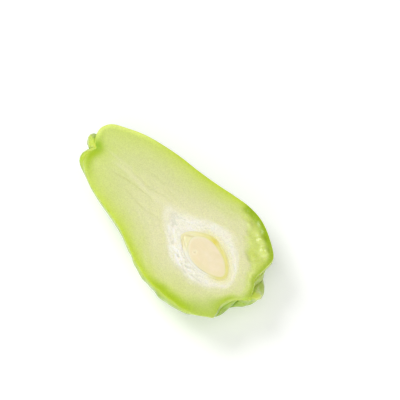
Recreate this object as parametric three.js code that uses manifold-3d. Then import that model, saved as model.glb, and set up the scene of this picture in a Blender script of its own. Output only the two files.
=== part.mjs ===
// Half a chayote squash, cut lengthwise through its seed and lying on its rounded back.
// Millimetres, +Z up. X runs from the stem end to the blossom end, and the cut face is level.
// The whole fruit is grown from three guide lines and its furrows, then a knife plane takes
// the upper part away. The seed's chamber is hollowed out of the cut face, and the seed coat
// and the seed kernel lie in it, cut level with the flesh.

import * as THREE from 'three';
import Module from 'manifold-3d';

// ---- Driving dimensions -------------------------------------------------------------------

// Guide lines, from the stem dimple to the blossom dimple. The cut face is the plane z = 0.
const UPPER_EDGE = [
  [1.2, 0], [-2.2, 2.4], [-5.3, 6.4], [-6.5, 12.3], [-3.4, 18.4], [4.3, 22.9], [15.6, 27.9],
  [28.5, 31.2], [42.5, 33.5], [56.6, 34.8], [69.8, 36.6], [82.8, 38.9], [95, 40.5], [107, 39.5],
  [119, 34.6], [129.6, 27.4], [131.2, 18.5], [131.8, 9.6], [135.4, 4.6], [138.4, -1],
];
const LOWER_EDGE = [
  [1.2, 0], [0.2, -3], [0.1, -7.2], [2.2, -11.8], [7.5, -15.8], [16, -19.7], [27, -22.4],
  [39, -24.7], [50, -27.3], [60, -31.2], [71, -35.3], [83, -38.3], [95, -38.0], [107, -37.1],
  [119, -35.2], [131.2, -27.2], [129.2, -18.5], [131.0, -11.2], [135.6, -6.6], [138.4, -1],
];
const KEEL = [
  [1.2, 0, 0], [-4.4, 1.8, -3.4], [-8.8, 3, -6.6], [-10.2, 3.4, -11], [-6.5, 3.2, -16],
  [2.5, 3, -20.4], [14, 3, -24.6], [28, 2.8, -28], [42, 2.6, -31], [56, 1.8, -33.4],
  [69, 1.5, -34.4], [82, 1.4, -34.2], [94, 1.4, -33], [106, 1.6, -31.2], [118, 1.8, -28.4],
  [129, 3.4, -24], [136.6, 4.6, -18], [140.8, 4.8, -11.5], [141.4, 3.6, -5.2], [138.4, -1, 0],
];
const AXIS_DROP = 3.5; // how far the fruit's axis lies under the knife at mid length

// Furrows run the whole length: angle in degrees (0 at the upper edge, -90 at the keel) and
// depth, each as [at the stem, along the body, at the blossom end], and half width in radians.
const FURROWS = [
  { angle: [-150, -154, -166], depth: [0.2, 0.9, 1.2], width: 0.12 },
  { angle: [-128, -121, -152], depth: [3.6, 2.4, 2.8], width: 0.22 },
  { angle: [-44, -52, -22], depth: [2.4, 2.2, 2.8], width: 0.22 },
  { angle: [-10, -26, -12], depth: [0.4, 1.1, 1.0], width: 0.14 },
  { angle: [34, 34, 34], depth: [2.4, 2.0, 2.6], width: 0.22 },
  { angle: [90, 90, 90], depth: [2.4, 2.0, 2.6], width: 0.22 },
  { angle: [148, 150, 148], depth: [2.4, 2.0, 2.6], width: 0.22 },
];
const STEM_REACH = 0.22; // how far along the fruit the stem's values hold
const BLOSSOM_REACH = 0.2;
const CREASE_SHARE = 0.25; // part of a furrow's depth that is its narrow crease
const CREASE_WIDTH = 0.04;
const CREASE_ROUNDING = 0.02;

// Swellings between the furrows, and dents where the height is negative: place along the fruit,
// angle in degrees, half length, half width in radians, height.
const SWELLINGS = [
  { at: 0.145, angle: -152, reach: 0.07, width: 0.35, height: 3.2 },
  { at: 0.17, angle: -120, reach: 0.045, width: 0.24, height: -3.0 },
  { at: 0.65, angle: -162, reach: 0.07, width: 0.32, height: 2.0 },
  { at: 0.765, angle: -162, reach: 0.05, width: 0.3, height: -2.8 },
  { at: 0.795, angle: -30, reach: 0.035, width: 0.22, height: -3.2 },
  { at: 0.804, angle: -118, reach: 0.03, width: 0.25, height: -2.4 },
  { at: 0.85, angle: -118, reach: 0.025, width: 0.2, height: 1.2 },
  { at: 0.9, angle: -100, reach: 0.03, width: 0.22, height: -1.3 },
];
const FULLNESS = 0.3; // the lobes stand this far outside the guide lines

// Lumps: slow waves over the skin that fade out at the two edges, each as height, waves along
// the fruit, waves round it (a whole number) and phase.
const LUMPS = [
  { height: 0.34, along: 6.5, round: 2, phase: 1.0 },
  { height: 0.24, along: 9.7, round: -4, phase: 2.3 },
  { height: 0.16, along: 14.2, round: 7, phase: 0.6 },
];
const STEM_CALM = 0.08; // the relief fades out this close to the stem dimple
const BLOSSOM_CALM = 0.05;

// Seed, seen in the cut face: outlines round its centre, clockwise, and depths under the cut.
const SEED_CENTRE = [99.5, -0.6];
const COAT_OUTLINE = [
  [-20.4, -2.2], [-18.6, 3.0], [-13.4, 7.6], [-6.4, 10.9], [0.6, 10.9], [8.6, 8.6],
  [15.2, 4.2], [18.9, -1.8], [16.6, -6.6], [9.6, -9.4], [1.2, -11.1], [-7.4, -10.3],
  [-15.4, -6.8],
];
const KERNEL_OUTLINE = [
  [-14.3, 1.4], [-10.0, 6.6], [-3.4, 8.2], [5.0, 6.9], [12.0, 3.8], [17.2, -1.6],
  [15.4, -5.6], [8.6, -8.5], [1.0, -9.7], [-6.6, -8.6], [-12.0, -4.4],
];
const COAT_DEPTH = 7.2;
const KERNEL_DEPTH = 5.8;
const GAP = 0.3; // clearance between pieces that touch in the fruit
const OVERCUT = 2; // hollows are cut from this far above the cut face

const FLAT_DEPTH = 0.6; // what the resting flat takes off the keel

// Mesh density.
const ROWS = 92;
const COLUMNS_PER_LOBE = 12;
const SEED_COLUMNS = 40;
const SEED_ROWS = 10;

// ---- Small helpers ------------------------------------------------------------------------

const bell = (distance, reach) => Math.exp(-((distance / reach) ** 2));

const wrapAngle = (angle) => THREE.MathUtils.euclideanModulo(angle + Math.PI, 2 * Math.PI) - Math.PI;

// A value that is its own near the stem, along the body and near the blossom end.
function alongFruit([stem, body, blossom], t) {
  return body + (stem - body) * bell(t, STEM_REACH) + (blossom - body) * bell(1 - t, BLOSSOM_REACH);
}

function guideCurve(points) {
  const vectors = points.map(([x, y, z = 0]) => new THREE.Vector3(x, y, z));
  return new THREE.CatmullRomCurve3(vectors, false, 'catmullrom');
}

// ---- The fruit's surface ------------------------------------------------------------------

const upperEdge = guideCurve(UPPER_EDGE);
const lowerEdge = guideCurve(LOWER_EDGE);
const keelLine = guideCurve(KEEL);

// The smooth body: at each place t an oval through the two edges and the keel.
function smoothBody(t, angle) {
  const upper = upperEdge.getPoint(t);
  const lower = lowerEdge.getPoint(t);
  const keel = keelLine.getPoint(t);
  const middle = upper.clone().add(lower).multiplyScalar(0.5);
  const reach = upper.clone().sub(lower).multiplyScalar(0.5);
  const axis = -AXIS_DROP * Math.sin(Math.PI * t);
  const toKeel = Math.sin(angle) ** 2;
  return new THREE.Vector3(
    middle.x + Math.cos(angle) * reach.x + toKeel * (keel.x - middle.x),
    middle.y + Math.cos(angle) * reach.y + toKeel * (keel.y - middle.y),
    axis + Math.sin(angle) * (axis - keel.z),
  );
}

// The angle of a furrow's crease at place t, with a slight natural wander.
function furrowAngle(index, t) {
  const wander = 0.05 * Math.sin(9 * t + 1.7 * index) + 0.03 * Math.sin(21 * t + 2.9 * index);
  return THREE.MathUtils.degToRad(alongFruit(FURROWS[index].angle, t)) + wander;
}

// How far the skin stands outside the smooth body: fullness, lumps, swellings, and furrows that are
// a broad valley with a narrow crease along its bottom.
function relief(t, angle) {
  let height = FULLNESS;
  FURROWS.forEach((furrow, index) => {
    const offset = Math.hypot(wrapAngle(angle - furrowAngle(index, t)), CREASE_ROUNDING);
    const valley = (1 - CREASE_SHARE) * Math.exp(-offset / furrow.width);
    const crease = CREASE_SHARE * Math.exp(-offset / CREASE_WIDTH);
    height -= alongFruit(furrow.depth, t) * (valley + crease);
  });
  for (const lump of LUMPS) {
    const wave = Math.sin(2 * Math.PI * lump.along * t + lump.round * angle + lump.phase);
    height += lump.height * wave * (1 - Math.cos(angle) ** 4);
  }
  for (const swelling of SWELLINGS) {
    const turn = wrapAngle(angle - THREE.MathUtils.degToRad(swelling.angle));
    height += swelling.height * bell(t - swelling.at, swelling.reach) * bell(turn, swelling.width);
  }
  return height * (1 - bell(t, STEM_CALM)) * (1 - bell(1 - t, BLOSSOM_CALM));
}

function skinPoint(t, angle) {
  const step = 1e-3;
  const place = THREE.MathUtils.clamp(t, 2 * step, 1 - 2 * step);
  const along = smoothBody(place + step, angle).sub(smoothBody(place - step, angle));
  const around = smoothBody(place, angle + step).sub(smoothBody(place, angle - step));
  const outward = around.cross(along).normalize();
  return smoothBody(t, angle).addScaledVector(outward, relief(t, angle));
}

// Columns follow the creases and crowd towards them, so each crease is a row of edges.
function columnAngle(column, t) {
  const lobe = Math.floor(column / COLUMNS_PER_LOBE);
  const share = (1 - Math.cos((Math.PI * (column % COLUMNS_PER_LOBE)) / COLUMNS_PER_LOBE)) / 2;
  const next = (lobe + 1) % FURROWS.length;
  const turn = next === 0 ? 2 * Math.PI : 0;
  const start = furrowAngle(lobe, t);
  return start + share * (furrowAngle(next, t) + turn - start);
}

// ---- Solids -------------------------------------------------------------------------------

// A closed geometry of rings between two poles; point(row, column) gives each place. Columns go
// round clockwise as seen from outside the first pole.
function closedRings(rows, columns, point) {
  const positions = [...point(0, 0)];
  for (let row = 1; row < rows; row += 1) {
    for (let column = 0; column < columns; column += 1) {
      positions.push(...point(row, column));
    }
  }
  positions.push(...point(rows, 0));
  const last = (rows - 1) * columns + 1;
  const index = [];
  for (let column = 0; column < columns; column += 1) {
    const next = (column + 1) % columns;
    index.push(0, 1 + next, 1 + column);
    for (let row = 0; row < rows - 2; row += 1) {
      const near = 1 + row * columns;
      const far = near + columns;
      index.push(near + column, near + next, far + column);
      index.push(near + next, far + next, far + column);
    }
    index.push(last - columns + column, last - columns + next, last);
  }
  const geometry = new THREE.BufferGeometry();
  geometry.setAttribute('position', new THREE.Float32BufferAttribute(positions, 3));
  geometry.setIndex(index);
  return geometry;
}

const wasm = await Module();
wasm.setup();

function toSolid(geometry) {
  const vertProperties = Float32Array.from(geometry.attributes.position.array);
  const triVerts = Uint32Array.from(geometry.index.array);
  return new wasm.Manifold(new wasm.Mesh({ numProp: 3, vertProperties, triVerts }));
}

function toGeometry(solid) {
  const mesh = solid.getMesh();
  const geometry = new THREE.BufferGeometry();
  geometry.setAttribute('position', new THREE.Float32BufferAttribute(mesh.vertProperties, 3));
  geometry.setIndex(new THREE.Uint32BufferAttribute(mesh.triVerts, 1));
  return geometry;
}

function block(low, high) {
  const positions = [];
  for (const z of [low[2], high[2]]) {
    positions.push(low[0], low[1], z, high[0], low[1], z, high[0], high[1], z, low[0], high[1], z);
  }
  const geometry = new THREE.BufferGeometry();
  geometry.setAttribute('position', new THREE.Float32BufferAttribute(positions, 3));
  geometry.setIndex([
    0, 2, 1, 0, 3, 2, 4, 5, 6, 4, 6, 7, 0, 1, 5, 0, 5, 4,
    1, 2, 6, 1, 6, 5, 2, 3, 7, 2, 7, 6, 3, 0, 4, 3, 4, 7,
  ]);
  return toSolid(geometry);
}

// A bowl under the cut face: the outline, grown by `grow`, at its rim, round at its bottom.
function bowl(outline, depth, grow, top) {
  const centre = new THREE.Vector3(...SEED_CENTRE, 0);
  const rim = new THREE.CatmullRomCurve3(
    outline.map(([x, y]) => new THREE.Vector3(x, y, 0)), true, 'catmullrom');
  return toSolid(closedRings(SEED_ROWS + 1, SEED_COLUMNS, (row, column) => {
    const edge = rim.getPoint(column / SEED_COLUMNS);
    edge.setLength(edge.length() + grow);
    const sweep = Math.max(row - 1, 0) / SEED_ROWS;
    const spread = row === 0 ? 0 : Math.cos((Math.PI / 2) * sweep);
    const height = row <= 1 ? top : -depth * Math.sin((Math.PI / 2) * sweep);
    return [centre.x + edge.x * spread, centre.y + edge.y * spread, height];
  }));
}

const wholeFruit = toSolid(closedRings(ROWS, FURROWS.length * COLUMNS_PER_LOBE,
  (row, column) => skinPoint(row / ROWS, columnAngle(column, row / ROWS)).toArray()));

// The knife plane above and the resting flat below bound what is kept of the whole fruit.
const whole = wholeFruit.boundingBox();
const kept = block([whole.min[0] - 1, whole.min[1] - 1, whole.min[2] + FLAT_DEPTH],
  [whole.max[0] + 1, whole.max[1] + 1, 0]);
const chamber = bowl(COAT_OUTLINE, COAT_DEPTH + GAP, GAP, OVERCUT);
const fruitHalf = wholeFruit.intersect(kept).subtract(chamber);

const seedSpace = bowl(KERNEL_OUTLINE, KERNEL_DEPTH + GAP, GAP, OVERCUT);
const seedCoat = bowl(COAT_OUTLINE, COAT_DEPTH, 0, 0).subtract(seedSpace);
const seedKernel = bowl(KERNEL_OUTLINE, KERNEL_DEPTH, 0, 0);

// ---- The assembled half -------------------------------------------------------------------

const group = new THREE.Group();

function addPiece(name, solid, color, roughness) {
  const material = new THREE.MeshStandardMaterial({ color, roughness, metalness: 0 });
  const piece = new THREE.Mesh(toGeometry(solid), material);
  piece.name = name;
  group.add(piece);
}

addPiece('fruit_half', fruitHalf, 0xb4cf4a, 0.35);
addPiece('seed_coat', seedCoat, 0xe3dc8c, 0.45);
addPiece('seed_kernel', seedKernel, 0xf3e4c4, 0.5);

// The origin is under the middle of the half, on the surface that it lies on.
const half = fruitHalf.boundingBox();
group.position.set(-(half.min[0] + half.max[0]) / 2, -(half.min[1] + half.max[1]) / 2, -half.min[2]);

export default group;
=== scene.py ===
"""Half a chayote squash on a pale floor: waxy skin, wet cut flesh and the cut seed.

The fruit is one closed surface: a pear-shaped skin through three guide lines, with lobes, furrows
and wrinkles, and a cut face that is a web of rays from the rim to the seed's chamber. The seed
coat and the kernel lie in the chamber. Shapes are in millimetres in the fruit's own frame, where
x runs from stem to blossom end and the cut is z = 0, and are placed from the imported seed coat.
"""

import math

import bpy
import numpy as np
from bpy.props import FloatProperty, FloatVectorProperty, PointerProperty
from mathutils import Matrix, Vector


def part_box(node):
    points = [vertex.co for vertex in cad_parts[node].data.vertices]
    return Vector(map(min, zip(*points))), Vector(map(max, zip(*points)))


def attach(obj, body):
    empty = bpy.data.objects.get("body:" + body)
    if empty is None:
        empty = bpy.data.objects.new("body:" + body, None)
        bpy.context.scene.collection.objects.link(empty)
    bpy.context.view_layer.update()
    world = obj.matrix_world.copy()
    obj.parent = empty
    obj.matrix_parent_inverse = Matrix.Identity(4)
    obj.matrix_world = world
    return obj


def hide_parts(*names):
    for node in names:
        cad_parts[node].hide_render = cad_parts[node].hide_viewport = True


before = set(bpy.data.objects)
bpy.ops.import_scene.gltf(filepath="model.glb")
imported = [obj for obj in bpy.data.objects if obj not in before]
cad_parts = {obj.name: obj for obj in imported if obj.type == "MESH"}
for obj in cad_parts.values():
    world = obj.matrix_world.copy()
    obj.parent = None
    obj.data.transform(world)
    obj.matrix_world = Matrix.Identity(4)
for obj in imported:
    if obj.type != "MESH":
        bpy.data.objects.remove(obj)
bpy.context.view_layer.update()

bl_info = {
    "name": "Chayote half",
    "version": (1, 0, 0),
    "blender": (4, 5, 0),
    "location": "View3D > Sidebar > Chayote",
    "description": "Builds a chayote squash that was cut lengthwise through its seed",
    "category": "Object",
}

MM = 0.001
TURN = 2 * math.pi

# ---- Guide shapes, in millimetres ----

# The cut's two flat edges and the keel under it, from the stem's dimple to the blossom's.
UPPER_EDGE = np.array([
    (1.2, 0), (-2.2, 2.4), (-5.3, 6.4), (-6.5, 12.3), (-3.4, 18.4), (4.3, 22.9), (15.6, 27.9),
    (28.5, 31.2), (42.5, 33.5), (56.6, 34.8), (69.8, 36.6), (82.8, 38.9), (95, 40.5), (107, 39.5),
    (119, 34.6), (129.6, 27.4), (131.2, 18.5), (131.8, 9.6), (135.4, 4.6), (138.4, -1)])
LOWER_EDGE = np.array([
    (1.2, 0), (0.2, -3), (0.1, -7.2), (2.2, -11.8), (7.5, -15.8), (16, -19.7), (27, -22.4),
    (39, -24.7), (50, -27.3), (60, -31.2), (71, -35.3), (83, -38.3), (95, -38.0), (107, -37.1),
    (119, -35.2), (131.2, -27.2), (129.2, -18.5), (131.0, -11.2), (135.6, -6.6), (138.4, -1)])
KEEL = np.array([
    (1.2, 0, 0), (-4.4, 1.8, -3.4), (-8.8, 3, -6.6), (-10.2, 3.4, -11), (-6.5, 3.2, -16),
    (2.5, 3, -20.4), (14, 3, -24.6), (28, 2.8, -28), (42, 2.6, -31), (56, 1.8, -33.4),
    (69, 1.5, -34.4), (82, 1.4, -34.2), (94, 1.4, -33), (106, 1.6, -31.2), (118, 1.8, -28.4),
    (129, 3.4, -24), (136.6, 4.6, -18), (140.8, 4.8, -11.5), (141.4, 3.6, -5.2), (138.4, -1, 0)])

# Furrows: angle in degrees and depth, each at the stem, along the body and at the blossom end, and
# half width in radians. Angle 0 is the upper edge and -90 the keel.
FURROWS = (
    ((-150, -154, -166), (0.2, 0.9, 1.2), 0.12),
    ((-128, -121, -152), (3.6, 2.4, 2.8), 0.22),
    ((-44, -52, -22), (2.4, 2.2, 2.8), 0.22),
    ((-10, -26, -12), (0.4, 1.1, 1), 0.14),
    ((34, 34, 34), (2.4, 2, 2.6), 0.22),
    ((90, 90, 90), (2.4, 2, 2.6), 0.22),
    ((148, 150, 148), (2.4, 2, 2.6), 0.22))
KEPT_FURROWS = 4  # those of the half that is kept come first
STEM_REACH = 0.22
BLOSSOM_REACH = 0.2
CREASE_SHARE = 0.25
CREASE_WIDTH = 0.04
CREASE_ROUNDING = 0.02
FOLD_WIDTH = 0.02

# Swellings: place, angle in degrees, half length, half width in radians, height.
SWELLINGS = (
    (0.145, -152, 0.07, 0.35, 3.2), (0.17, -120, 0.045, 0.24, -3), (0.65, -162, 0.07, 0.32, 2),
    (0.765, -162, 0.05, 0.3, -2.8), (0.795, -30, 0.035, 0.22, -3.2),
    (0.804, -118, 0.03, 0.25, -2.4), (0.85, -118, 0.025, 0.2, 1.2), (0.9, -100, 0.03, 0.22, -1.3))
# Lumps: height, waves along the fruit, waves round it, phase.
LUMPS = ((0.34, 6.5, 2, 1.0), (0.24, 9.7, -4, 2.3), (0.16, 14.2, 7, 0.6))
DIMPLE_REACH = 0.008
STEM_CALM = 0.08
BLOSSOM_CALM = 0.05
RIM_WAVE_HEIGHT = 0.65
# A cut edge is looked for between two angles in degrees, the first under the cut.
LOWER_SEARCH = (-150, -215)
UPPER_SEARCH = (-30, 35)

# Outlines round the seed's centre: the seed coat, the kernel, and the white zone of spongy flesh,
# whose long tip points to the stem.
SEED_CENTRE = np.array((99.5, -0.6))
COAT_OUTLINE = np.array([
    (-20.4, -2.2), (-18.6, 3), (-13.4, 7.6), (-6.4, 10.9), (0.6, 10.9), (8.6, 8.6), (15.2, 4.2),
    (18.9, -1.8), (16.6, -6.6), (9.6, -9.4), (1.2, -11.1), (-7.4, -10.3), (-15.4, -6.8)])
KERNEL_OUTLINE = np.array([
    (-14.3, 1.4), (-10, 6.6), (-3.4, 8.2), (5, 6.9), (12, 3.8), (17.2, -1.6), (15.4, -5.6),
    (8.6, -8.5), (1, -9.7), (-6.6, -8.6), (-12, -4.4)])
WHITE_OUTLINE = np.array([
    (-39.5, 4.5), (-31.8, 8.2), (-22.4, 12), (-13.6, 16.6), (-2.8, 19.4), (6.4, 18), (14.4, 13),
    (21.4, 5), (24.5, -4), (21, -11.5), (13, -16.8), (4.2, -19.2), (-8, -19.4), (-17.4, -15.2),
    (-24, -10.5), (-33, -5.2)])
# The side of the seed where open pores show most, and over how wide an angle.
PORE_SIDE = math.radians(-135)
PORE_SPREAD = 1.3
# Soft folds in the seed coat's pocket, round the seed's centre.
COAT_FOLDS = np.array([
    [(-17.3, -3.2), (-18.7, -2), (-18.7, -0.6), (-17, 0.8), (-14.2, 2.3)],
    [(-18.8, -4.9), (-17.6, -4.6), (-16.4, -5.2), (-15.2, -6.2), (-14.2, -7.3)]])
KERNEL_PIT = np.array((-6.3, -4.1))

# Beyond this line the cut runs close under the skin, and the flesh is green and sinks.
SHOULDER_LINE = np.array([
    (82, 48), (91, 40.5), (97.5, 33.5), (104.2, 29.4), (110.5, 22.5), (118.6, 16.6),
    (125.4, 10.0), (130.5, 3.5), (139, -3)])
# Humps on the shoulder: middle, radius, height.
HUMPS = (
    ((116.4, 30.6), 2.6, 1.7), ((123.4, 26.9), 2.3, 1.5), ((90.2, 29.4), 1.6, 0.3),
    ((104.2, 31.4), 2.2, 0.9), ((127.4, 20.8), 3.2, 0.45))

# Threads in the neck's flesh: start, end, half width, and how dark; paler if negative.
THREADS = (
    ((8, 5.4), (30, 4.6), 1.3, -0.6), ((20, -2.4), (54, 0.8), 0.8, 0.9),
    ((30, 5.2), (60, 7.2), 0.9, 0.7), ((16, 1.4), (62, 3.8), 1.7, -1),
    ((32, -7), (66, -5.6), 0.9, 0.6), ((36, 12.2), (70, 12.4), 1, 0.4))

# Mesh density.
ROWS = 280
SKIN_COLUMNS = (26, 30, 56, 36, 28)  # in each stretch between two kept furrows, edge to edge
COLUMN_CROWDING = 0.11
FACE_RINGS = 72
RING_CROWDING = 0.05
CHAMBER_RINGS = 8
SEED_TURN = np.arange(256) / 256 * TURN
BOWL_RINGS = 9
RIM_RINGS = 17
OUTLINE_SAMPLES = 1440
HALVINGS = 36

# How deep a furrow the two dimples count as, and how far from the rim the chamber does.
DIMPLE_FURROW = 3
CHAMBER_TO_RIM = 30

# How the flesh turns from its rim's colour, over this depth: share of the depth, share of the
# inner colour.
BAND_DEPTH = 17
FLESH_BANDS = (
    (0, 0), (0.06, 0.04), (0.12, 0.17), (0.24, 0.37), (0.41, 0.58), (0.65, 0.78), (1, 1))
# Colours that no setting changes.
# Painted light: a pale bright green laid on the lobes at both ends as if lit.
PAINTED_LIT_SKIN = (0.86, 0.98, 0.2)
CREAM = (0.815, 0.795, 0.48)
DARK_THREAD = (0.5, 0.53, 0.16)
LIGHT_THREAD = (0.82, 0.81, 0.52)
# Painted highlight along the neck's upper rim.
PAINTED_RIM_HIGHLIGHT = (0.84, 0.97, 0.24)
NOTCH = (0.3, 0.52, 0.003)
SHOULDER_GREENS = (0.6, 0.7, 0.13), (0.74, 0.83, 0.26)
SHOULDER_MARGIN = (0.35, 0.51, 0.008)
SEED_YELLOW = (0.84, 0.79, 0.3)
# Grey of the open pores: partly the spongy tissue's grey, partly painted shade in the sunk pits.
PORE_GREY_AND_SHADE = (0.64, 0.66, 0.54)
# Painted sheen: white strokes in the spongy zone.
SHEEN = (0.97, 0.97, 0.92)
COAT_WHITE = (0.9, 0.89, 0.72)
# Brown of the coat's folds: partly their own brownish colour, partly painted shade in the creases.
COAT_FOLD_BROWN_AND_SHADE = (0.62, 0.5, 0.2)
# Painted shadow: a thin brown line on the coat along the kernel's edge.
COAT_EDGE_SHADOW = (0.5, 0.38, 0.14)
KERNEL_MOTTLE = (0.95, 0.825, 0.6)
# Painted shade greying the kernel's small pit.
KERNEL_PIT_SHADE = (0.66, 0.62, 0.42)
# Painted highlight along the kernel's stem-side edge and round its pit.
KERNEL_EDGE_HIGHLIGHT = (0.95, 0.9, 0.62)

# The middle of the picture, in millimetres, and the floor, in metres.
AIM = (70.7, 21.7, 0)
FLOOR_HALF = 6
FLOOR_LEVEL = -0.0001
# Lamps: name, how far right, away and up in metres, width, share of the key light's power.
LAMPS = (
    ("key", (-0.7, 0.55, 1.25), 0.75, 1), ("overhead", (0.2, -0.9, 1.9), 2.2, 1.9),
    ("low_front", (-0.35, -0.9, 0.45), 0.5, 0.2))


# ---- Settings ----

def amount(name, description, value, unit="NONE"):
    """A number property, never negative."""
    return FloatProperty(name=name, description=description, default=value, min=0, unit=unit)


def length(name, description, millimetres):
    """A length property with its default in millimetres."""
    return amount(name, description, millimetres * MM, "LENGTH")


def bearing(name, description, degrees):
    """An angle property with its default in degrees."""
    return FloatProperty(name=name, description=description, default=math.radians(degrees),
                         subtype="ANGLE")


def colour(name, description, value):
    """A colour property."""
    return FloatVectorProperty(name=name, description=description, subtype="COLOR", size=3,
                               default=value, min=0, max=1)


class ChayoteFruitSettings(bpy.types.PropertyGroup):
    """Sizes and colours of the skin and the flesh."""

    axis_drop: length("Axis drop", "Depth of the axis under the cut at mid length", 3.5)
    fullness: length("Fullness", "Height of the lobes over the guide lines", 0.3)
    fold_depth: length("Fold depth", "Depth of the fine fold in each furrow", 0.8)
    wrinkle_height: length("Wrinkle height", "Height of dents and wrinkles", 1.7)
    flesh_swell: length("Flesh swell", "Height of the cut flesh over its rim", 0.3)
    shoulder_sink: length("Shoulder sink", "Depth of the sunk green shoulder", 1.1)
    skin: colour("Skin", "Skin of the lobes", (0.27, 0.45, 0.01))
    bloom: colour("Skin bloom", "Paler blotches", (0.43, 0.61, 0.05))
    # Dark green painted into the furrows as their shade.
    furrow: colour("Furrows", "Skin in the furrows", (0.11, 0.26, 0.004))
    flesh: colour("Flesh", "Cut flesh far from the skin", (0.72, 0.74, 0.365))
    rim: colour("Rim", "Flesh just under the skin", (0.6, 0.74, 0.055))
    young: colour("Young flesh", "Flesh towards the stem", (0.635, 0.745, 0.195))
    corner: colour("Corner", "Flesh low down at the blossom end", (0.5, 0.63, 0.125))
    deep: colour("Deep rim", "Rim where the cut runs slantwise", (0.42, 0.59, 0.004))
    white: colour("White zone", "Spongy flesh round the seed", (0.92, 0.89, 0.73))


class ChayoteSeedSettings(bpy.types.PropertyGroup):
    """Sizes and colours of the seed."""

    coat_depth: length("Coat depth", "Depth of the halved seed coat", 7.2)
    kernel_depth: length("Kernel depth", "Depth of the halved kernel", 5.8)
    fit_gap: length("Fit gap", "Space between the pieces of the seed", 0.03)
    ring: colour("Coat ring", "Outer ring of the seed coat", (0.84, 0.79, 0.3))
    stain: colour("Coat stain", "Deeper yellow in the ring", (0.8, 0.69, 0.09))
    pocket: colour("Coat pocket", "Soft coat inside its ring", (0.9, 0.85, 0.5))
    kernel: colour("Kernel", "Cut face of the kernel", (0.9, 0.785, 0.5))


class ChayoteStageSettings(bpy.types.PropertyGroup):
    """Camera, floor and light of the studio."""

    azimuth: bearing("Azimuth", "Camera's turn round the fruit", 45.48)
    elevation: bearing("Elevation", "Camera's angle above the floor", 69)
    distance: length("Distance", "Camera's distance from the cut face", 5000)
    picture_width: length("Picture width", "Width of the view at the cut face", 248)
    floor: colour("Floor", "Colour of the floor", (0.88, 0.88, 0.88))
    floor_glow: amount("Floor glow", "Light that the floor gives off", 0.26)
    key_power: amount("Key light", "Power of the key light", 11.2, "POWER")
    world_strength: amount("Surroundings", "Light of the surroundings", 0.23)


# ---- Curves and fields ----

def bell(distance, reach):
    """A smooth hill: e to the minus square of distance over reach."""
    return np.exp(-(distance / reach) ** 2)


def spot(x, y, middle, reach):
    """A smooth round hill about a flat point."""
    return bell(np.hypot(x - middle[0], y - middle[1]), reach)


def smooth(value, low, high):
    """0 at low, 1 at high and a smooth step between; high may be the smaller one."""
    share = np.clip((value - low) / (high - low), 0, 1)
    return share * share * (3 - 2 * share)


def wrapped(angle):
    """The angle brought to between minus and plus half a turn."""
    return (angle + math.pi) % TURN - math.pi


def cubic(before, start, end, after, share):
    """A Catmull-Rom stretch: through start and end, with the slopes of their neighbours' chords."""
    slope_in, slope_out = (end - before) / 2, (after - start) / 2
    return ((2 * start - 2 * end + slope_in + slope_out) * share ** 3
            + (3 * end - 3 * start - 2 * slope_in - slope_out) * share ** 2
            + slope_in * share + start)


def facing(angle, towards, spread):
    """1 in one direction, falling off smoothly to both sides of it."""
    return bell(wrapped(angle - towards), spread)


def open_curve(points, t):
    """The smooth curve through all points, which share out t from 0 to 1 evenly."""
    padded = np.vstack([2 * points[0] - points[1], points, 2 * points[-1] - points[-2]])
    place = np.clip(t, 0, 1) * (len(points) - 1)
    index = np.minimum(np.floor(place).astype(int), len(points) - 2)
    share = (place - index)[..., None]
    return cubic(*(padded[index + shift] for shift in range(4)), share)


def closed_curve(points, t):
    """The smooth closed curve through all points; t from 0 to 1 goes once round."""
    place = (t % 1) * len(points)
    index = np.floor(place).astype(int)
    share = (place - index)[..., None]
    return cubic(*(points[(index + shift) % len(points)] for shift in (-1, 0, 1, 2)), share)


def crowded(count, crowding):
    """This many shares of a stretch, the last one 1, which crowd towards both its ends."""
    even = np.arange(1, count + 1) / count
    return even - crowding * np.sin(TURN * even)


def quarter(count):
    """Cosines and sines, as columns, of this many angles within a quarter turn."""
    sweep = (np.arange(1, count + 1) / (count + 1) * math.pi / 2)[:, None]
    return np.cos(sweep), np.sin(sweep)


def outline_points(points):
    """A closed outline as many points on its curve."""
    return closed_curve(points, np.linspace(0, 1, OUTLINE_SAMPLES, endpoint=False))


def outline_radius(points, angle):
    """Distance from the centre to a closed outline in each direction, read off its points."""
    x, y = outline_points(points).T
    turn = np.arctan2(y, x)
    order = np.argsort(turn)
    return np.interp(wrapped(angle), turn[order], np.hypot(x, y)[order], period=TURN)


def ray_points(turn, radius):
    """Flat points about zero, from directions and radii."""
    return np.stack([radius * np.cos(turn), radius * np.sin(turn)], -1)


def seed_rings(turn, radius, height):
    """Points in rings round the seed's centre, from directions, radii and heights."""
    return np.dstack([SEED_CENTRE + ray_points(turn, radius), height]).reshape(-1, 3)


def ripple(u, v, seed, period=256):
    """Smooth noise from -1 to 1: random values where u and v are whole, blended between them. It
    repeats when v has grown by the period."""
    table = np.random.RandomState(seed).uniform(-1, 1, (256, 256))
    low_u, low_v = np.floor(u).astype(int), np.floor(v).astype(int)
    share_u, share_v = smooth(u - low_u, 0, 1), smooth(v - low_v, 0, 1)
    near, far = (
        table[row % 256, low_v % period] * (1 - share_v)
        + table[row % 256, (low_v + 1) % period] * share_v for row in (low_u, low_u + 1))
    return near * (1 - share_u) + far * share_u


def nearest(points, line, slice_size=4096):
    """Each point's distance to a line's closest point and that one's number, found in slices."""
    distance, number = np.empty(len(points)), np.empty(len(points), dtype=int)
    for start in range(0, len(points), slice_size):
        part = slice(start, start + slice_size)
        gaps = np.linalg.norm(points[part, None, :] - line[None, :, :], axis=2)
        number[part] = gaps.argmin(axis=1)
        distance[part] = gaps.min(axis=1)
    return distance, number


# ---- The skin ----

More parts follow.
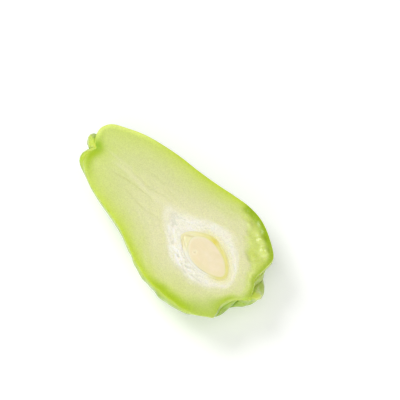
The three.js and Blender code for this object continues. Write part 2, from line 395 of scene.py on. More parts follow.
def along_fruit(values, t):
    """A value from those near the stem, along the body and near the blossom end."""
    stem, body, blossom = values
    return (body + (stem - body) * bell(t, STEM_REACH)
            + (blossom - body) * bell(1 - t, BLOSSOM_REACH))


def furrow_angle(index, t):
    """Where furrow number index runs at place t, in radians, with a slight wander."""
    wander = 0.05 * np.sin(9 * t + 1.7 * index) + 0.03 * np.sin(21 * t + 2.9 * index)
    return np.radians(along_fruit(FURROWS[index][0], t)) + wander


def smooth_body(t, angle, axis_drop):
    """An oval at each place t: the middle of the edges, plus half their distance times the angle's
    cosine, with the sine squared leading over to the keel."""
    upper, lower, keel = (open_curve(line, t) for line in (UPPER_EDGE, LOWER_EDGE, KEEL))
    middle, reach = (upper + lower) / 2, (upper - lower) / 2
    cosine, sine = np.cos(angle), np.sin(angle)
    flat = middle + cosine[..., None] * reach + sine[..., None] ** 2 * (keel[..., :2] - middle)
    axis = -axis_drop * np.sin(math.pi * t)
    height = axis + sine * (axis - keel[..., 2])
    return np.concatenate([flat, height[..., None]], -1)


def furrow_depth(t, angle, fold_depth):
    """How deep the furrows lie: each is a broad valley and a narrower crease, which fall off with
    the distance from its line, and a fine fold that comes and goes."""
    depth = np.zeros(np.broadcast(t, angle).shape)
    for index, (_, depths, width) in enumerate(FURROWS):
        aside = wrapped(angle - furrow_angle(index, t))
        offset = np.hypot(aside, CREASE_ROUNDING)
        valley = (1 - CREASE_SHARE) * np.exp(-offset / width)
        crease = CREASE_SHARE * np.exp(-offset / CREASE_WIDTH)
        strength = smooth(ripple(6 * t, np.full_like(t, 3 * index), 8), -0.7, 0.2)
        size = along_fruit(depths, t)
        fold = fold_depth * np.minimum(size / 2, 1) * strength * bell(aside, FOLD_WIDTH)
        depth += size * (valley + crease) + fold
    return depth


def wrinkles(t, angle):
    """The fine relief, from about -1 to 1: dents a finger's width across, lengthwise wrinkles,
    short folds across, and a fine unevenness."""
    turns = angle / TURN
    dents = ripple(12 * t, 15 * turns, 3)
    lengthwise = ripple(13 * t + 2 * turns, 44 * turns + 5 * t, 4)
    across = ripple(38 * t, 16 * turns, 5)
    fine = ripple(75 * t, 95 * turns, 6)
    return 0.55 * dents + 0.28 * lengthwise + 0.12 * across + 0.05 * fine


def skin_relief(t, angle, settings):
    """Height over the smooth body: fullness, lumps, swellings and wrinkles, less the furrows.
    Lumps and wrinkles fade at the cut edges, the lower edge waves, and all fades at the
    dimples."""
    height = settings.fullness / MM - furrow_depth(t, angle, settings.fold_depth / MM)
    under = 1 - np.cos(angle) ** 4
    for rise, along, round_it, phase in LUMPS:
        height += rise * under * np.sin(TURN * along * t + round_it * angle + phase)
    for at, turn, reach, width, rise in SWELLINGS:
        height += rise * bell(t - at, reach) * facing(angle, math.radians(turn), width)
    waved = facing(angle, -2.9, 0.5) * smooth(t, 0.44, 0.54) * smooth(t, 0.86, 0.76)
    height += RIM_WAVE_HEIGHT * waved * ripple(44 * t, 3 * angle, 7)
    calm = 1 - 0.8 * bell(t, 2 * STEM_CALM)
    height += settings.wrinkle_height / MM * under * calm * wrinkles(t, angle)
    return height * (1 - bell(t, STEM_CALM)) * (1 - bell(1 - t, BLOSSOM_CALM))


def skin_points(t, angle, settings):
    """Points of the skin: the smooth body moved outwards, square to itself, by the relief."""
    drop = settings.axis_drop / MM
    step = 1e-3
    place = np.clip(t, 2 * step, 1 - 2 * step)
    along = smooth_body(place + step, angle, drop) - smooth_body(place - step, angle, drop)
    around = smooth_body(place, angle + step, drop) - smooth_body(place, angle - step, drop)
    outward = np.cross(around, along)
    outward /= np.linalg.norm(outward, axis=-1, keepdims=True)
    return smooth_body(t, angle, drop) + skin_relief(t, angle, settings)[..., None] * outward


def cut_angle(t, search, settings):
    """The angle where the skin meets the cut, by halving the stretch that is searched."""
    low, high = (np.full_like(t, angle) for angle in np.radians(search))
    for _ in range(HALVINGS):
        middle = (low + high) / 2
        under = skin_points(t, middle, settings)[:, 2] < 0
        low, high = np.where(under, middle, low), np.where(under, high, middle)
    return (low + high) / 2


def skin_angles(t, settings):
    """Angles of the skin's columns at each place t, from the lower cut edge to the upper one. The
    columns follow the furrows and crowd towards them."""
    lower, upper = (cut_angle(t, search, settings) for search in (LOWER_SEARCH, UPPER_SEARCH))
    stops = [lower, *(furrow_angle(index, t) for index in range(KEPT_FURROWS)), upper]
    columns = [lower[:, None]]
    for start, end, count in zip(stops[:-1], stops[1:], SKIN_COLUMNS):
        share = crowded(count, COLUMN_CROWDING)
        columns.append(start[:, None] + (end - start)[:, None] * share)
    return np.hstack(columns)


# ---- The cut face ----

def face_web(rim, gap):
    """Flat points of the cut face, ring by ring, and each ray's direction and end radius. A ray
    runs from a rim point to the seed's outline, widened by the gap."""
    out = rim - SEED_CENTRE
    turn = np.arctan2(out[:, 1], out[:, 0])
    radius = outline_radius(COAT_OUTLINE, turn) + gap
    lip = SEED_CENTRE + ray_points(turn, radius)
    share = crowded(FACE_RINGS, RING_CROWDING)[:, None, None]
    return rim * (1 - share) + lip * share, turn, radius


def thread_field(place):
    """Threads in the neck: each a soft line from its start to its end, fading at both."""
    total = np.zeros(len(place))
    for start, end, width, strength in THREADS:
        run, aside = np.subtract(end, start), place - start
        reach = run @ run
        share = aside @ run / reach
        side = aside @ (-run[1], run[0]) / math.sqrt(reach)
        bend = 0.9 * np.sin(5 * share + 9 * strength) + 0.5 * ripple(share * 5, side * 0, 51)
        fade = smooth(share, -0.25, 0.2) * smooth(share, 1.25, 0.7)
        total += strength * fade * bell(side + bend, width)
    return total


def beyond_line(place, line):
    """Distance of flat points from a line, positive on its left as it runs."""
    distance, number = nearest(place, line)
    heading = np.gradient(line, axis=0)[number]
    aside = place - line[number]
    return distance * np.sign(heading[:, 0] * aside[:, 1] - heading[:, 1] * aside[:, 0])


def seed_yellow(turn, beyond):
    """How yellow it is this far beyond the kernel's edge: most just outside it, from the stem end
    over the upper side to the blossom end."""
    strength = smooth(np.cos(turn - 1), -0.45, 0.3)
    return strength * smooth(beyond, -1.1, 0.3) * (
        0.4 * smooth(beyond, 3.4, 1.1) + 0.6 * smooth(beyond, 8, 2.2))


def face_fields(place, turn, seed_radius, to_rim):
    """What the flesh is like at flat points of the cut face. White is 1 in the spongy zone, cream
    fades off round it, fibre is noise along rings about the seed, pores its hills and sheen its
    dips. Shoulder is 1 where the cut runs under the skin, margin its deeper edge, narrow at the
    blossom end, thread the neck's threads, young its greener flesh and yellow the seed's stain."""
    x, y = place.T
    from_seed = np.linalg.norm(place - SEED_CENTRE, axis=1)
    white_radius = outline_radius(WHITE_OUTLINE, turn)
    ring = (from_seed - seed_radius) / (white_radius - seed_radius)
    turns = turn / TURN
    ragged = 0.16 * ripple(ring * 4, turns * 24, 12, 24)
    white = smooth(ring + ragged, 1.3, 0.62)
    streaks = ripple(ring * 6 + turns * 22, turns * 32, 13, 32)
    threads = ripple(ring * 11 - turns * 16, turns * 54, 16, 54)
    fibre = 0.6 * streaks + 0.5 * threads + 0.3 * ripple(x / 0.9, y / 0.9, 14)
    spongy = white * bell(ring - 0.55, 0.55) * (0.15 + 0.85 * facing(turn, PORE_SIDE, PORE_SPREAD))
    beyond = (beyond_line(place, open_curve(SHOULDER_LINE, np.linspace(0, 1, 240)))
              + 1.7 * ripple(x / 6, y / 6, 15) + 0.7 * ripple(x / 2.2, y / 2.2, 17))
    ending = smooth(x, 116, 126) * (0.5 + 0.5 * smooth(y, 27, 20))
    return {
        "rim": to_rim, "white": white, "fibre": fibre * white, "young": bell(x + 8, 34),
        "cream": (smooth(from_seed / white_radius + ragged, 1.95, 1)
                  * (1 - 0.75 * facing(turn, -1.3, 0.75))),
        "pores": smooth(fibre, 0.05, 0.6) * spongy, "sheen": smooth(-fibre, 0, 0.5) * spongy,
        "shoulder": smooth(beyond, -2, 2.6), "thread": thread_field(place),
        "margin": smooth(to_rim, 6.2 - 2.2 * ending, 2.2 - 1.6 * ending) * (1 - 0.3 * ending),
        "yellow": seed_yellow(turn, from_seed - outline_radius(KERNEL_OUTLINE, turn))}


def face_height(place, from_lip, fields, settings):
    """Height of the flesh over the cut: it swells inside its rim, waves slightly, has pits and
    fibres in the white zone and sinks in dents at the shoulder. It is level at the seed."""
    x, y = place.T
    rim = fields["rim"]
    dents = 0.7 + 0.6 * ripple(x / 7, y / 8, 22) + 0.2 * ripple(x / 2.8, y / 3.2, 23)
    humps = sum(rise * spot(x, y, middle, reach) for middle, reach, rise in HUMPS)
    sink = settings.shoulder_sink / MM * dents * smooth(rim, 0, 5 + 5 * smooth(x, 114, 122))
    height = (settings.flesh_swell / MM * (1 - np.exp(-rim / 1.2))
              + 0.12 * ripple(x / 9, y / 9, 21)
              + 0.04 * ripple(x / 1.7, y / 1.7, 24)
              - 0.18 * fields["white"] + 0.14 * fields["fibre"] - 0.35 * fields["pores"]
              - 0.05 * fields["thread"] + (humps * smooth(rim, 0, 4) - sink) * fields["shoulder"])
    return height * (0.1 + 0.9 * smooth(from_lip, 0, 0.8))


def rim_colours(x, y, to_rim):
    """Where the green changes, 1 at most. Green is a deeper band along the rim round the stem's
    dimple, along the lower edge and at the blossom end, corner the lower side of that end, notch
    the two dimples and top the upper rim of the neck, its own yellow-green brightened as a painted
    highlight."""
    low_side = smooth(-y, 8, 24)
    stem = spot(x, y, (1, -5), 13)
    strength = np.clip(low_side * (0.35 * smooth(x, 40, 60) + 0.65 * smooth(x, 80, 96)
                                   - 0.75 * smooth(x, 112, 124))
                       + 0.95 * stem + 0.85 * spot(x, y, (131, -12), 7.5)
                       + 0.8 * spot(x, y, (134, 6), 4), 0, 1)
    width = 5.5 + 3 * stem + 2.5 * low_side * smooth(x, 84, 98)
    edge = 1 - 0.5 * bell(to_rim, 0.7)
    return {
        "green": strength * edge * smooth(to_rim, width, 0.8 + 1.7 * stem),
        "corner": 0.85 * smooth(x, 106, 120) * smooth(-y + 0.5 * x, 74, 84) * smooth(to_rim, 16, 3),
        "notch": (0.8 * spot(x, y, (0, 1), 2.8) + 0.2 * spot(x, y, (0, 2), 6)
                  + 0.35 * spot(x, y, (137, -2), 3.5)),
        "top": 0.8 * smooth(x, 40, 8) * smooth(y, 3, 8) * smooth(to_rim, 4, 0.5)}


# ---- Mesh making ----

def quads_between(rings, closed):
    """Quads between the rows of a grid of point numbers; closed rows join up."""
    beside = np.roll(rings, -1, axis=1)
    quads = np.stack([rings[:-1], beside[:-1], beside[1:], rings[1:]], -1)
    return (quads if closed else quads[:, :-1]).reshape(-1, 4)


def fan(row, pole, pole_first, closed=True):
    """Triangles between a row of point numbers and a pole before or after it."""
    ends = np.stack([row, np.roll(row, -1)], -1)
    ends = ends if closed else ends[:-1]
    hub = np.full((len(ends), 1), pole)
    return np.hstack([hub, ends[:, ::-1]] if pole_first else [ends, hub])


def placed(points):
    """Brings points from the fruit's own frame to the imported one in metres: the middle of the
    seed coat's outline, level with the cut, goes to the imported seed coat's top."""
    low, high = np.array(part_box("seed_coat"))
    outline = outline_points(COAT_OUTLINE) + SEED_CENTRE
    middle = (outline.min(axis=0) + outline.max(axis=0)) / 2 * MM
    moved = points * MM + np.append((low + high)[:2] / 2 - middle, high[2])
    moved[:, 2] = np.maximum(moved[:, 2], 0)  # the spot that the fruit rests on
    return moved


def added(name, data):
    """A new object of the scene that shows this data."""
    thing = bpy.data.objects.new(name, data)
    bpy.context.scene.collection.objects.link(thing)
    return thing


def new_piece(name, node, points, faces, materials, fields, sharp):
    """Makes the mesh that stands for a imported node, from points in the fruit's frame, lists of
    (faces, material number), named values at the points, and the numbers of the points whose
    edges are sharp."""
    mesh = bpy.data.meshes.new(name)
    corners = np.hstack([part.ravel() for part, _ in faces])
    sizes = np.hstack([np.full(len(part), part.shape[1]) for part, _ in faces])
    numbers = np.hstack([np.full(len(part), number) for part, number in faces])
    mesh.vertices.add(len(points))
    mesh.loops.add(len(corners))
    mesh.polygons.add(len(sizes))
    for group, label, values, kind in (
            (mesh.vertices, "co", placed(points), np.float32),
            (mesh.loops, "vertex_index", corners, np.int32),
            (mesh.polygons, "loop_start", np.cumsum(sizes) - sizes, np.int32),
            (mesh.polygons, "material_index", numbers, np.int32),
            (mesh.polygons, "use_smooth", np.ones(len(sizes)), bool)):
        group.foreach_set(label, values.astype(kind).ravel())
    mesh.update(calc_edges=True)
    ends = np.empty(len(mesh.edges) * 2, dtype=np.int32)
    mesh.edges.foreach_get("vertices", ends)
    mesh.edges.foreach_set("use_edge_sharp", np.isin(ends, sharp).reshape(-1, 2).all(axis=1))
    for label, values in fields.items():
        field = mesh.attributes.new(label, "FLOAT", "POINT")
        field.data.foreach_set("value", values.astype(np.float32))
    for material in materials:
        mesh.materials.append(material)
    if mesh.validate():
        raise RuntimeError(f"{name} has faces that don't hold together")
    piece = added(name, mesh)
    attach(piece, "root")
    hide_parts(node)


# ---- Materials ----

def solid(value):
    """A colour with its alpha for a colour socket; a wire passes through."""
    return value if isinstance(value, Wire) else (*value, 1)


class Wire:
    """A socket of a material's node tree. Python arithmetic on wires adds Math nodes."""

    def __init__(self, tree, socket=None):
        self.tree = tree
        self.socket = socket

    def node(self, kind, inputs=None, output=0, stops=(), **settings):
        """Adds a shader node, sets its settings and a ramp's stops, then its sockets' values or
        links, and returns a wire from one of its outputs."""
        made = self.tree.nodes.new("ShaderNode" + kind)
        for label, value in settings.items():
            setattr(made, label, value)
        for _ in stops[2:]:
            made.color_ramp.elements.new(1)
        for number, (place, shade) in enumerate(stops):
            element = made.color_ramp.elements[number]
            element.position, element.color = place, solid(shade)
        for label, value in (inputs or {}).items():
            if isinstance(value, Wire):
                self.tree.links.new(value.socket, made.inputs[label])
            else:
                made.inputs[label].default_value = value
        return Wire(self.tree, made.outputs[output])

    def math(self, operation, first, second):
        return self.node("Math", {0: first, 1: second}, operation=operation)

    def __add__(self, other):
        return self.math("ADD", self, other)

    def __sub__(self, other):
        return self.math("SUBTRACT", self, other)

    def __rsub__(self, other):
        return self.math("SUBTRACT", other, self)

    def __mul__(self, other):
        return self.math("MULTIPLY", self, other)

    __radd__ = __add__
    __rmul__ = __mul__

    def step(self, low, high):
        """0 at low and 1 at high, smoothly between them; high may be the smaller one."""
        return self.node("MapRange", {0: self, 1: low, 2: high}, interpolation_type="SMOOTHSTEP")

    def mixed(self, first, second):
        """The first colour where this wire is 0 and the second where it is 1."""
        return self.node("Mix", {0: self, 6: solid(first), 7: solid(second)}, 2, data_type="RGBA")

    def __getitem__(self, name):
        """A named value that the mesh carries at its points."""
        return self.node("Attribute", None, 2, attribute_name=name)

    def noise(self, scale, detail=2, roughness=0.5, stretch=(1, 1, 1)):
        """Noise from 0 to 1 with this many waves to a metre; a stretch below 1 draws it out."""
        place = self.node("TexCoord", None, 3)
        scaled = self.node("Mapping", {"Vector": place, "Scale": stretch})
        return self.node("TexNoise", {"Vector": scaled, "Scale": scale, "Detail": detail,
                                      "Roughness": roughness})

    def bump(self, strength, distance):
        """The normal of a surface whose fine height is this wire."""
        return self.node("Bump", {"Strength": strength, "Distance": distance, "Height": self})


def new_material(name, look, settings):
    """A node material whose surface is what a look makes of a loose wire and the settings."""
    material = bpy.data.materials.new(name)
    material.use_nodes = True
    tree = material.node_tree
    tree.nodes.clear()
    output = tree.nodes.new("ShaderNodeOutputMaterial")
    tree.links.new(look(Wire(tree), settings).socket, output.inputs["Surface"])
    return material


def layered(base, *layers):
    """Colours laid over a base one after another, each where its mask is 1."""
    for mask, shade in layers:
        base = mask.mixed(base, shade)
    return base


def surface(wire, tint, roughness, normal, glow, coat, ior=1.5):
    """A surface with light under it and a clear coat. Glow is that light's share, the reach of
    its red, green and blue, and their scale in metres; coat is weight and roughness."""
    return wire.node("BsdfPrincipled", {
        "Base Color": tint, "Roughness": roughness, "Normal": normal, "IOR": ior,
        "Subsurface Weight": glow[0], "Subsurface Radius": glow[1], "Subsurface Scale": glow[2],
        "Coat Weight": coat[0], "Coat Roughness": coat[1]})


def skin_look(wire, settings):
    """Waxy skin with blotches, faint lengthwise streaks and tiny pale dots. Painted shade darkens
    the furrows, and painted light makes the lobes paler where wrinkles rise and at both ends; near
    the rim the skin is partly a yellower green, partly painted light."""
    rim = wire["rim"]
    deep = wire["furrow"].step(0.9, 3.8)
    blotches = wire.noise(85, 3, 0.6, (1, 1.6, 1.6))
    streaks = wire.noise(650, 2, 0.5, (0.22, 1, 1))
    # Pale blotches and streaks, with painted light: the skin is paler where its wrinkles rise.
    pale = (blotches + streaks * 0.3 + wire["relief"] * 0.22 - 0.15).step(0.28, 0.85)
    tint = layered(
        settings.skin,
        (pale, settings.bloom),
        # Painted shade in the furrows, fading near the cut edge.
        (deep * rim.step(0, 7), settings.furrow),
        (wire.noise(1300, 1).step(0.64, 0.72) * 0.3, settings.bloom),
        # Painted light on the lobes at both ends.
        (wire["painted_light_ends"] * 0.9, PAINTED_LIT_SKIN),
        # Near the cut edge the skin turns to the rim's green, less in the furrows: partly a
        # yellower green, partly painted light on the lit strip and lobes.
        (rim.step(7, 1) * (0.7 - deep * 0.4), settings.rim))
    return surface(wire, tint, wire.noise(220) * 0.2 + 0.2,
                   (wire.noise(900, 3) * 0.5 + streaks * 0.5).bump(0.22, 0.0004),
                   (0.2, (0.5, 1, 0.15), 0.002), (rim.step(1, 8) * 0.35, 0.16), 1.4)


def flesh_look(wire, settings):
    """Wet cut flesh: green under the skin, pale cream inside, with threads down the neck, a white
    spongy zone round the seed with grey pores, partly painted shade, and a painted white sheen, and
    a glossy green shoulder."""
    rim, white, shoulder, thread = (
        wire[label] for label in ("rim", "white", "shoulder", "thread"))
    mottle = wire.noise(150, 3, 0.6)
    grain = wire.noise(1500, 2, 0.7)
    bands = [(place, [outer + (inner - outer) * share for outer, inner in zip(
        settings.rim, settings.flesh)]) for place, share in FLESH_BANDS]
    depth = rim + (mottle - 0.5) * rim.step(0, 4) * 3
    flesh = wire.node("ValToRGB", {"Fac": depth * (1 / BAND_DEPTH)}, stops=bands)
    leaf = (mottle * 0.6 + wire.noise(70) * 0.4).step(0.35, 0.7).mixed(*SHOULDER_GREENS)
    tint = layered(
        flesh,
        (wire["young"] * 0.75, settings.young),
        (wire["cream"] * 0.75, CREAM),
        (thread.step(0.1, 1) * 0.3, DARK_THREAD),
        (thread.step(0, -1) * 0.38, LIGHT_THREAD),
        (wire["corner"] * (mottle * 0.5 + 0.75), settings.corner),
        (wire["green"], settings.deep),
        # Painted highlight along the neck's upper rim.
        (wire["top"], PAINTED_RIM_HIGHLIGHT),
        (wire["notch"], NOTCH),
        (shoulder, wire["margin"].mixed(leaf, SHOULDER_MARGIN)),
        (white * 0.95, settings.white),
        (wire["yellow"], SEED_YELLOW),
        # Grey pores, partly painted shade in the sunk pits.
        (wire["pores"] * 0.65, PORE_GREY_AND_SHADE),
        # Painted sheen: white strokes in the spongy zone.
        (wire["sheen"] * 0.8, SHEEN))
    relief = grain * 0.6 + wire.noise(420, 2, 0.5, (0.12, 1, 1)) * 0.25 + white * grain * 0.4
    grained = wire.node("VectorMath", {0: tint, "Scale": grain.step(0.25, 0.75) * 0.16 + 0.92},
                        operation="SCALE")
    return surface(wire, grained, 0.46 - shoulder * 0.2 + white * 0.06, relief.bump(0.3, 0.0004),
                   (0.3, (0.8, 1, 0.3), 0.001), (shoulder * 0.6 + 0.06, 0.2), 1.34)


def coat_look(wire, settings):
    """Seed coat: a yellow ring round the kernel, deeper yellow in one stretch, a pale soft pocket
    with brownish folds that are partly painted shade, a white lower side, and a fine painted shadow
    along the kernel's edge."""
    mottle = wire.noise(300, 3, 0.6)
    soft = mottle - 0.5
    # A thin painted shadow on the coat along the kernel's edge.
    seam = (wire["from_kernel"] + soft * 0.4).step(0.5, 0.1) * wire["seam"]
    tint = layered(
        COAT_WHITE,
        (wire["pocket"], settings.pocket),
        # Brown folds, partly their own colour, partly painted shade in the sunk creases.
        (wire["fold"] * (soft + 0.9), COAT_FOLD_BROWN_AND_SHADE),
        (wire["yellow"] * (soft * 0.5 + 1),
         wire["stain"].mixed(settings.ring, settings.stain)),
        (seam, COAT_EDGE_SHADOW))
    return surface(wire, tint, mottle * 0.2 + 0.3, mottle.bump(0.25, 0.0003),
                   (0.2, (1, 0.8, 0.3), 0.0006), (0.2, 0.2))


def kernel_look(wire, settings):
    """Kernel: smooth mottled cream, yellow on one side, with painted shade greying a small pit and
    a painted highlight along its stem-side edge and round the pit."""
    mottle = wire.noise(130, 3, 0.6)
    tint = layered(
        settings.kernel,
        (mottle.step(0.3, 0.75), KERNEL_MOTTLE),
        # Painted shade in the small pit.
        (wire["pit"] * 0.5, KERNEL_PIT_SHADE),
        # Painted highlight along the stem-side edge and round the pit.
        (wire["margin"] * 0.8, KERNEL_EDGE_HIGHLIGHT),
        (wire["yellow"], SEED_YELLOW))
    return surface(wire, tint, mottle * 0.15 + 0.34, wire.noise(1500).bump(0.15, 0.0003),
                   (0.2, (1, 0.8, 0.5), 0.0008), (0.1, 0.2))


def floor_look(wire, settings):
    """A matt pale sheet with a slight glow of its own."""
    return wire.node("BsdfPrincipled", {
        "Base Color": solid(settings.floor), "Roughness": wire.noise(40) * 0.1 + 0.5,
        "Emission Color": (1, 1, 1, 1), "Emission Strength": settings.floor_glow})


# ---- Pieces ----

class CHAYOTE_OT_fruit(bpy.types.Operator):
    """Builds the halved fruit as one closed mesh: lobed skin, cut flesh and the seed's chamber"""

    bl_idname = "chayote.fruit"
    bl_label = "Fruit half"

    def execute(self, context):
        settings, seed = context.scene.chayote_fruit, context.scene.chayote_seed
        t = np.arange(1, ROWS) / ROWS
        angles = skin_angles(t, settings)
        places = np.broadcast_to(t[:, None], angles.shape)
        skin = skin_points(places, angles, settings)
        skin[:, (0, -1), 2] = 0

        # Point numbers: the skin's rows, the two ends, the face's rings, the chamber's, its bottom.
        rows = np.arange(angles.size).reshape(angles.shape)
        stem, blossom = angles.size, angles.size + 1
        rim_numbers = np.hstack([stem, rows[:, 0], blossom, rows[::-1, -1]])
        outside = np.vstack([skin.reshape(-1, 3), KEEL[[0, -1]]])
        rim = outside[rim_numbers]
        web, turn, radius = face_web(rim[:, :2], seed.fit_gap / MM)
        flat = web.reshape(-1, 2)
        turns, radii = np.tile(turn, FACE_RINGS), np.tile(radius, FACE_RINGS)
        flesh = face_fields(flat, turns, radii, nearest(flat, rim[:, :2])[0])
        from_lip = np.linalg.norm(flat - SEED_CENTRE, axis=1) - radii
        face = np.column_stack([flat, face_height(flat, from_lip, flesh, settings)])
        points = np.vstack([outside, face, self.chamber(turn, radius, face[-len(turn):, 2], seed)])
        inner = np.arange(len(outside), len(points) - 1).reshape(-1, len(turn))
        faces = [
            (quads_between(rows, closed=False), 0),
            (fan(rows[0], stem, pole_first=True, closed=False), 0),
            (fan(rows[-1], blossom, pole_first=False, closed=False), 0),
            (quads_between(np.vstack([rim_numbers, inner]), closed=True), 1),
            (fan(inner[-1], len(points) - 1, pole_first=False), 1)]
        new_piece("chayote_fruit", "fruit_half", points, faces,
                  [new_material("chayote_skin", skin_look, settings),
                   new_material("chayote_flesh", flesh_look, settings)],
                  self.fields(points, places, angles, rim, flesh, settings),
                  np.hstack([rim_numbers, inner[FACE_RINGS - 1]]))
        return {"FINISHED"}

    def chamber(self, turn, radius, lip, seed):
        """The seed's chamber, a quarter round from its lip down: the radius shrinks with the
        cosine, while the depth grows with the sine to just below the seed coat."""
        cosine, sine = quarter(CHAMBER_RINGS)
        depth = (seed.coat_depth + seed.fit_gap) / MM
        rings = seed_rings(turn, cosine * radius, lip * (1 - sine) - depth * sine)
        return np.vstack([rings, [[*SEED_CENTRE, -depth]]])

    def fields(self, points, places, angles, rim, flesh, settings):
        """Named values at all points: those of the flesh, with a white chamber, and the skin's
        distance from the rim, where painted light brightens the lobes at both ends, the furrows'
        depth that masks their painted shade, less where the ends are lit, and fine relief."""
        skin_count = angles.size + 2
        chamber_count = len(points) - skin_count - len(flesh["rim"])
        before = {"rim": nearest(points[:skin_count], rim)[0]}
        after = {"rim": np.full(chamber_count, CHAMBER_TO_RIM), "white": np.ones(chamber_count)}
        fields = {label: np.hstack([before.get(label, np.zeros(skin_count)), values,
                                    after.get(label, np.zeros(chamber_count))])
                  for label, values in flesh.items()}
        depth = furrow_depth(places, angles, settings.fold_depth / MM)
        # Painted light on the lobes at both ends, less deep in the furrows; there it also takes the
        # furrows' painted shade away.
        stem_end, blossom_end = (bell(away, reach) - 0.5 * bell(away, DIMPLE_REACH)
                                 for away, reach in ((places, 0.12), (1 - places, 0.15)))
        blossom_end *= 0.15 + 0.85 * smooth(angles, -2.2, -1.6)
        blossom_end *= 1 - 0.7 * smooth(depth, 1.5, 3.5)
        for label, values, elsewhere in (
                ("furrow", depth * (1 - stem_end - 0.7 * blossom_end), DIMPLE_FURROW),
                ("painted_light_ends", stem_end + blossom_end, 0), ("relief", wrinkles(places, angles), 0)):
            others = np.full(len(points) - angles.size, elsewhere)
            fields[label] = np.hstack([values.ravel(), others])
        return fields | rim_colours(points[:, 0], points[:, 1], fields["rim"])


def bowl_wall(radius, depth):
    """Rings of a bowl from near its bottom to just under its lip: radius times a cosine, at a
    depth times the sine."""
    cosine, sine = quarter(BOWL_RINGS)
    return radius * cosine[::-1], -depth * sine[::-1] + 0 * radius


def bowl_piece(name, node, radius, height, poles, lips, look, settings, fields):
    """Makes a round piece of the seed from rings of radius and height, from the outside of the
    bottom upwards and inwards, with poles at two heights and sharp edges along the lips. A field
    has values for all rings or one ring for all."""
    low, high = ([[*SEED_CENTRE, level]] for level in poles)
    points = np.vstack([low, seed_rings(SEED_TURN, radius, height), high])
    rows = 1 + np.arange(radius.size).reshape(radius.shape)
    faces = [(fan(rows[0], 0, pole_first=True), 0), (quads_between(rows, closed=True), 0),
             (fan(rows[-1], len(points) - 1, pole_first=False), 0)]
    values = {}
    for label, field in fields.items():
        field = np.broadcast_to(field, radius.shape)
        values[label] = np.hstack([field[0].mean(), field.ravel(), field[-1].mean()])
    new_piece(name, node, points, faces, [new_material(name, look, settings)], values,
              rows[lips])


class CHAYOTE_OT_seed_coat(bpy.types.Operator):
    """Builds the halved seed coat: a soft cup with a broad rim at its stem end"""

    bl_idname = "chayote.seed_coat"
    bl_label = "Seed coat"

    def execute(self, context):
        settings = context.scene.chayote_seed
        gap = settings.fit_gap / MM
        outer = outline_radius(COAT_OUTLINE, SEED_TURN)
        inner = outline_radius(KERNEL_OUTLINE, SEED_TURN) + gap
        depth, hollow = settings.coat_depth / MM, settings.kernel_depth / MM + gap
        width = outer - inner
        across = np.linspace(0, 1, RIM_RINGS)[:, None]
        rim = outer - width * across
        places = ray_points(SEED_TURN, rim).reshape(-1, 2)
        creases = sum(bell(nearest(places, open_curve(line, np.linspace(0, 1, 80)))[0], 0.6)
                      for line in COAT_FOLDS).reshape(rim.shape)
        folds = ripple(across * 5, SEED_TURN / TURN * 40, 31, 40)
        swell = 0.05 + 0.14 * folds * smooth(width, 1.5, 4) - 0.15 * creases
        outside, inside = bowl_wall(outer, depth), bowl_wall(inner, hollow)
        radius = np.vstack([outside[0], rim, inside[0][::-1]])
        height = np.vstack([outside[1], swell * np.sin(math.pi * across), inside[1][::-1]])
        buried = np.zeros_like(outside[0])
        from_kernel = np.vstack([buried + width, (1 - across) * width, buried])
        fields = {
            "from_kernel": from_kernel,
            "yellow": seed_yellow(SEED_TURN, from_kernel),
            "pocket": smooth(np.cos(SEED_TURN - 2.6), 0.2, 0.7),
            "fold": np.vstack([buried, 0.45 * creases, buried]),
            "stain": 0.9 * facing(SEED_TURN, 1.85, 0.28) + 0.3 * facing(SEED_TURN, 0.4, 0.9),
            # The painted shadow along the kernel, strongest on its lower side.
            "seam": 0.05 + 0.6 * facing(SEED_TURN, -1.15, 0.4)}
        bowl_piece("chayote_seed_coat", "seed_coat", radius, height, (-depth, -hollow),
                   [BOWL_RINGS, BOWL_RINGS + RIM_RINGS - 1], coat_look, settings, fields)
        return {"FINISHED"}


class CHAYOTE_OT_seed_kernel(bpy.types.Operator):
    """Builds the halved kernel: a flat cut face with a soft edge over a round underside"""

    bl_idname = "chayote.seed_kernel"
    bl_label = "Seed kernel"

    def execute(self, context):
        settings = context.scene.chayote_seed
        depth = settings.kernel_depth / MM
        edge = outline_radius(KERNEL_OUTLINE, SEED_TURN)
        share = np.hstack([1, 0.99, 0.97, np.linspace(0.94, 0.04, 24)])[:, None]
        x, y = share * np.cos(SEED_TURN), share * np.sin(SEED_TURN)
        from_pit = np.hypot(x * edge - KERNEL_PIT[0], y * edge - KERNEL_PIT[1])
        # The pit sinks the top and masks the painted shade in it.
        pit = bell(from_pit, 0.6)
        waves = ripple(3 * x, 3 * y, 41)
        top = 0.12 * (1 - share ** 2) + 0.07 * waves * (1 - share ** 4) - 0.25 * pit
        wall = bowl_wall(edge, depth)
        # Painted highlight: the margin is lighter along the stem-side edge and in a ring round the
        # pit.
        stem_side = 0.25 + 0.75 * smooth(-np.cos(SEED_TURN - 0.2), 0.1, 0.9)
        margin = smooth(share, 0.84, 1) * stem_side + 0.6 * bell(from_pit - 1.3, 0.5)
        yellow = (seed_yellow(SEED_TURN, edge * (share - 1))
                  + 0.3 * facing(SEED_TURN, -1.1, 0.9) * smooth(share, 0.5, 0.95))
        fields = {"margin": np.vstack([np.ones_like(wall[0]), margin]),
                  "pit": np.vstack([0 * wall[0], pit]),
                  "yellow": np.vstack([0 * wall[0], yellow])}
        bowl_piece("chayote_kernel", "seed_kernel", np.vstack([wall[0], edge * share]),
                   np.vstack([wall[1], top]), (-depth, top[-1].mean()), [BOWL_RINGS],
                   kernel_look, settings, fields)
        return {"FINISHED"}


def turned(place, settings):
    """A place given as right, away and up from the camera's side, as a vector."""
    return Matrix.Rotation(settings.azimuth, 3, "Z") @ Vector(place)


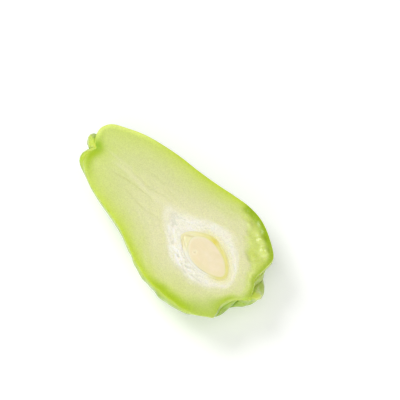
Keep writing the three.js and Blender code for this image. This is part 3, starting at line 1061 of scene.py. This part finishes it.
class CHAYOTE_OT_stage(bpy.types.Operator):
    """Sets the pale floor, the soft studio light and the camera"""

    bl_idname = "chayote.stage"
    bl_label = "Stage"

    def execute(self, context):
        settings = context.scene.chayote_stage
        self.floor(settings)
        self.camera(context.scene, settings)
        self.lights(context.scene, settings)
        return {"FINISHED"}

    def floor(self, settings):
        """A wide level sheet just under the fruit."""
        mesh = bpy.data.meshes.new("floor")
        mesh.from_pydata([(x * FLOOR_HALF, y * FLOOR_HALF, FLOOR_LEVEL)
                          for x, y in ((-1, -1), (1, -1), (1, 1), (-1, 1))], [], [(0, 1, 2, 3)])
        mesh.materials.append(new_material("floor", floor_look, settings))
        added("floor", mesh)

    def camera(self, scene, settings):
        """Looks down at the cut face, with its stem end at the upper left."""
        rise = settings.elevation
        back = turned((0, -math.cos(rise), math.sin(rise)), settings)
        data = bpy.data.cameras.new("camera")
        data.lens = data.sensor_width * settings.distance / settings.picture_width
        camera = added("camera", data)
        camera.location = Vector(placed(np.array([AIM]))[0]) + back * settings.distance
        camera.rotation_euler = (-back).to_track_quat("-Z", "Y").to_euler()
        scene.camera = camera

    def lights(self, scene, settings):
        """A pale world, a soft key light up to the camera's left, a wide one overhead and a weak
        one low in front."""
        scene.view_settings.view_transform = "Standard"
        scene.world = bpy.data.worlds.new("studio")
        scene.world.use_nodes = True
        background = scene.world.node_tree.nodes["Background"]
        background.inputs["Color"].default_value = (1, 1, 1, 1)
        background.inputs["Strength"].default_value = settings.world_strength
        for name, place, size, share in LAMPS:
            data = bpy.data.lights.new(name, "AREA")
            data.energy = settings.key_power * share
            data.size = size
            lamp = added(name, data)
            lamp.location = turned(place, settings)
            lamp.rotation_euler = (-lamp.location).to_track_quat("-Z", "Y").to_euler()


# ---- Add-on ----

OPERATORS = (CHAYOTE_OT_stage, CHAYOTE_OT_fruit, CHAYOTE_OT_seed_coat, CHAYOTE_OT_seed_kernel)
SETTINGS = {"chayote_fruit": ChayoteFruitSettings, "chayote_seed": ChayoteSeedSettings,
            "chayote_stage": ChayoteStageSettings}


class CHAYOTE_PT_panel(bpy.types.Panel):
    """Lists the chayote's pieces and their settings."""

    bl_idname = "CHAYOTE_PT_panel"
    bl_label = "Chayote half"
    bl_space_type = "VIEW_3D"
    bl_region_type = "UI"
    bl_category = "Chayote"

    def draw(self, context):
        for operator in OPERATORS:
            self.layout.operator(operator.bl_idname)
        for owner, kind in SETTINGS.items():
            box = self.layout.box()
            for label in kind.__annotations__:
                box.prop(getattr(context.scene, owner), label)


def register():
    for kind in (*SETTINGS.values(), *OPERATORS, CHAYOTE_PT_panel):
        bpy.utils.register_class(kind)
    for label, kind in SETTINGS.items():
        setattr(bpy.types.Scene, label, PointerProperty(type=kind))


def unregister():
    for label in SETTINGS:
        delattr(bpy.types.Scene, label)
    for kind in (CHAYOTE_PT_panel, *OPERATORS, *SETTINGS.values()):
        bpy.utils.unregister_class(kind)


def main():
    register()
    bpy.ops.chayote.stage()
    bpy.ops.chayote.fruit()
    bpy.ops.chayote.seed_coat()
    bpy.ops.chayote.seed_kernel()


if __name__ == "__main__":
    main()
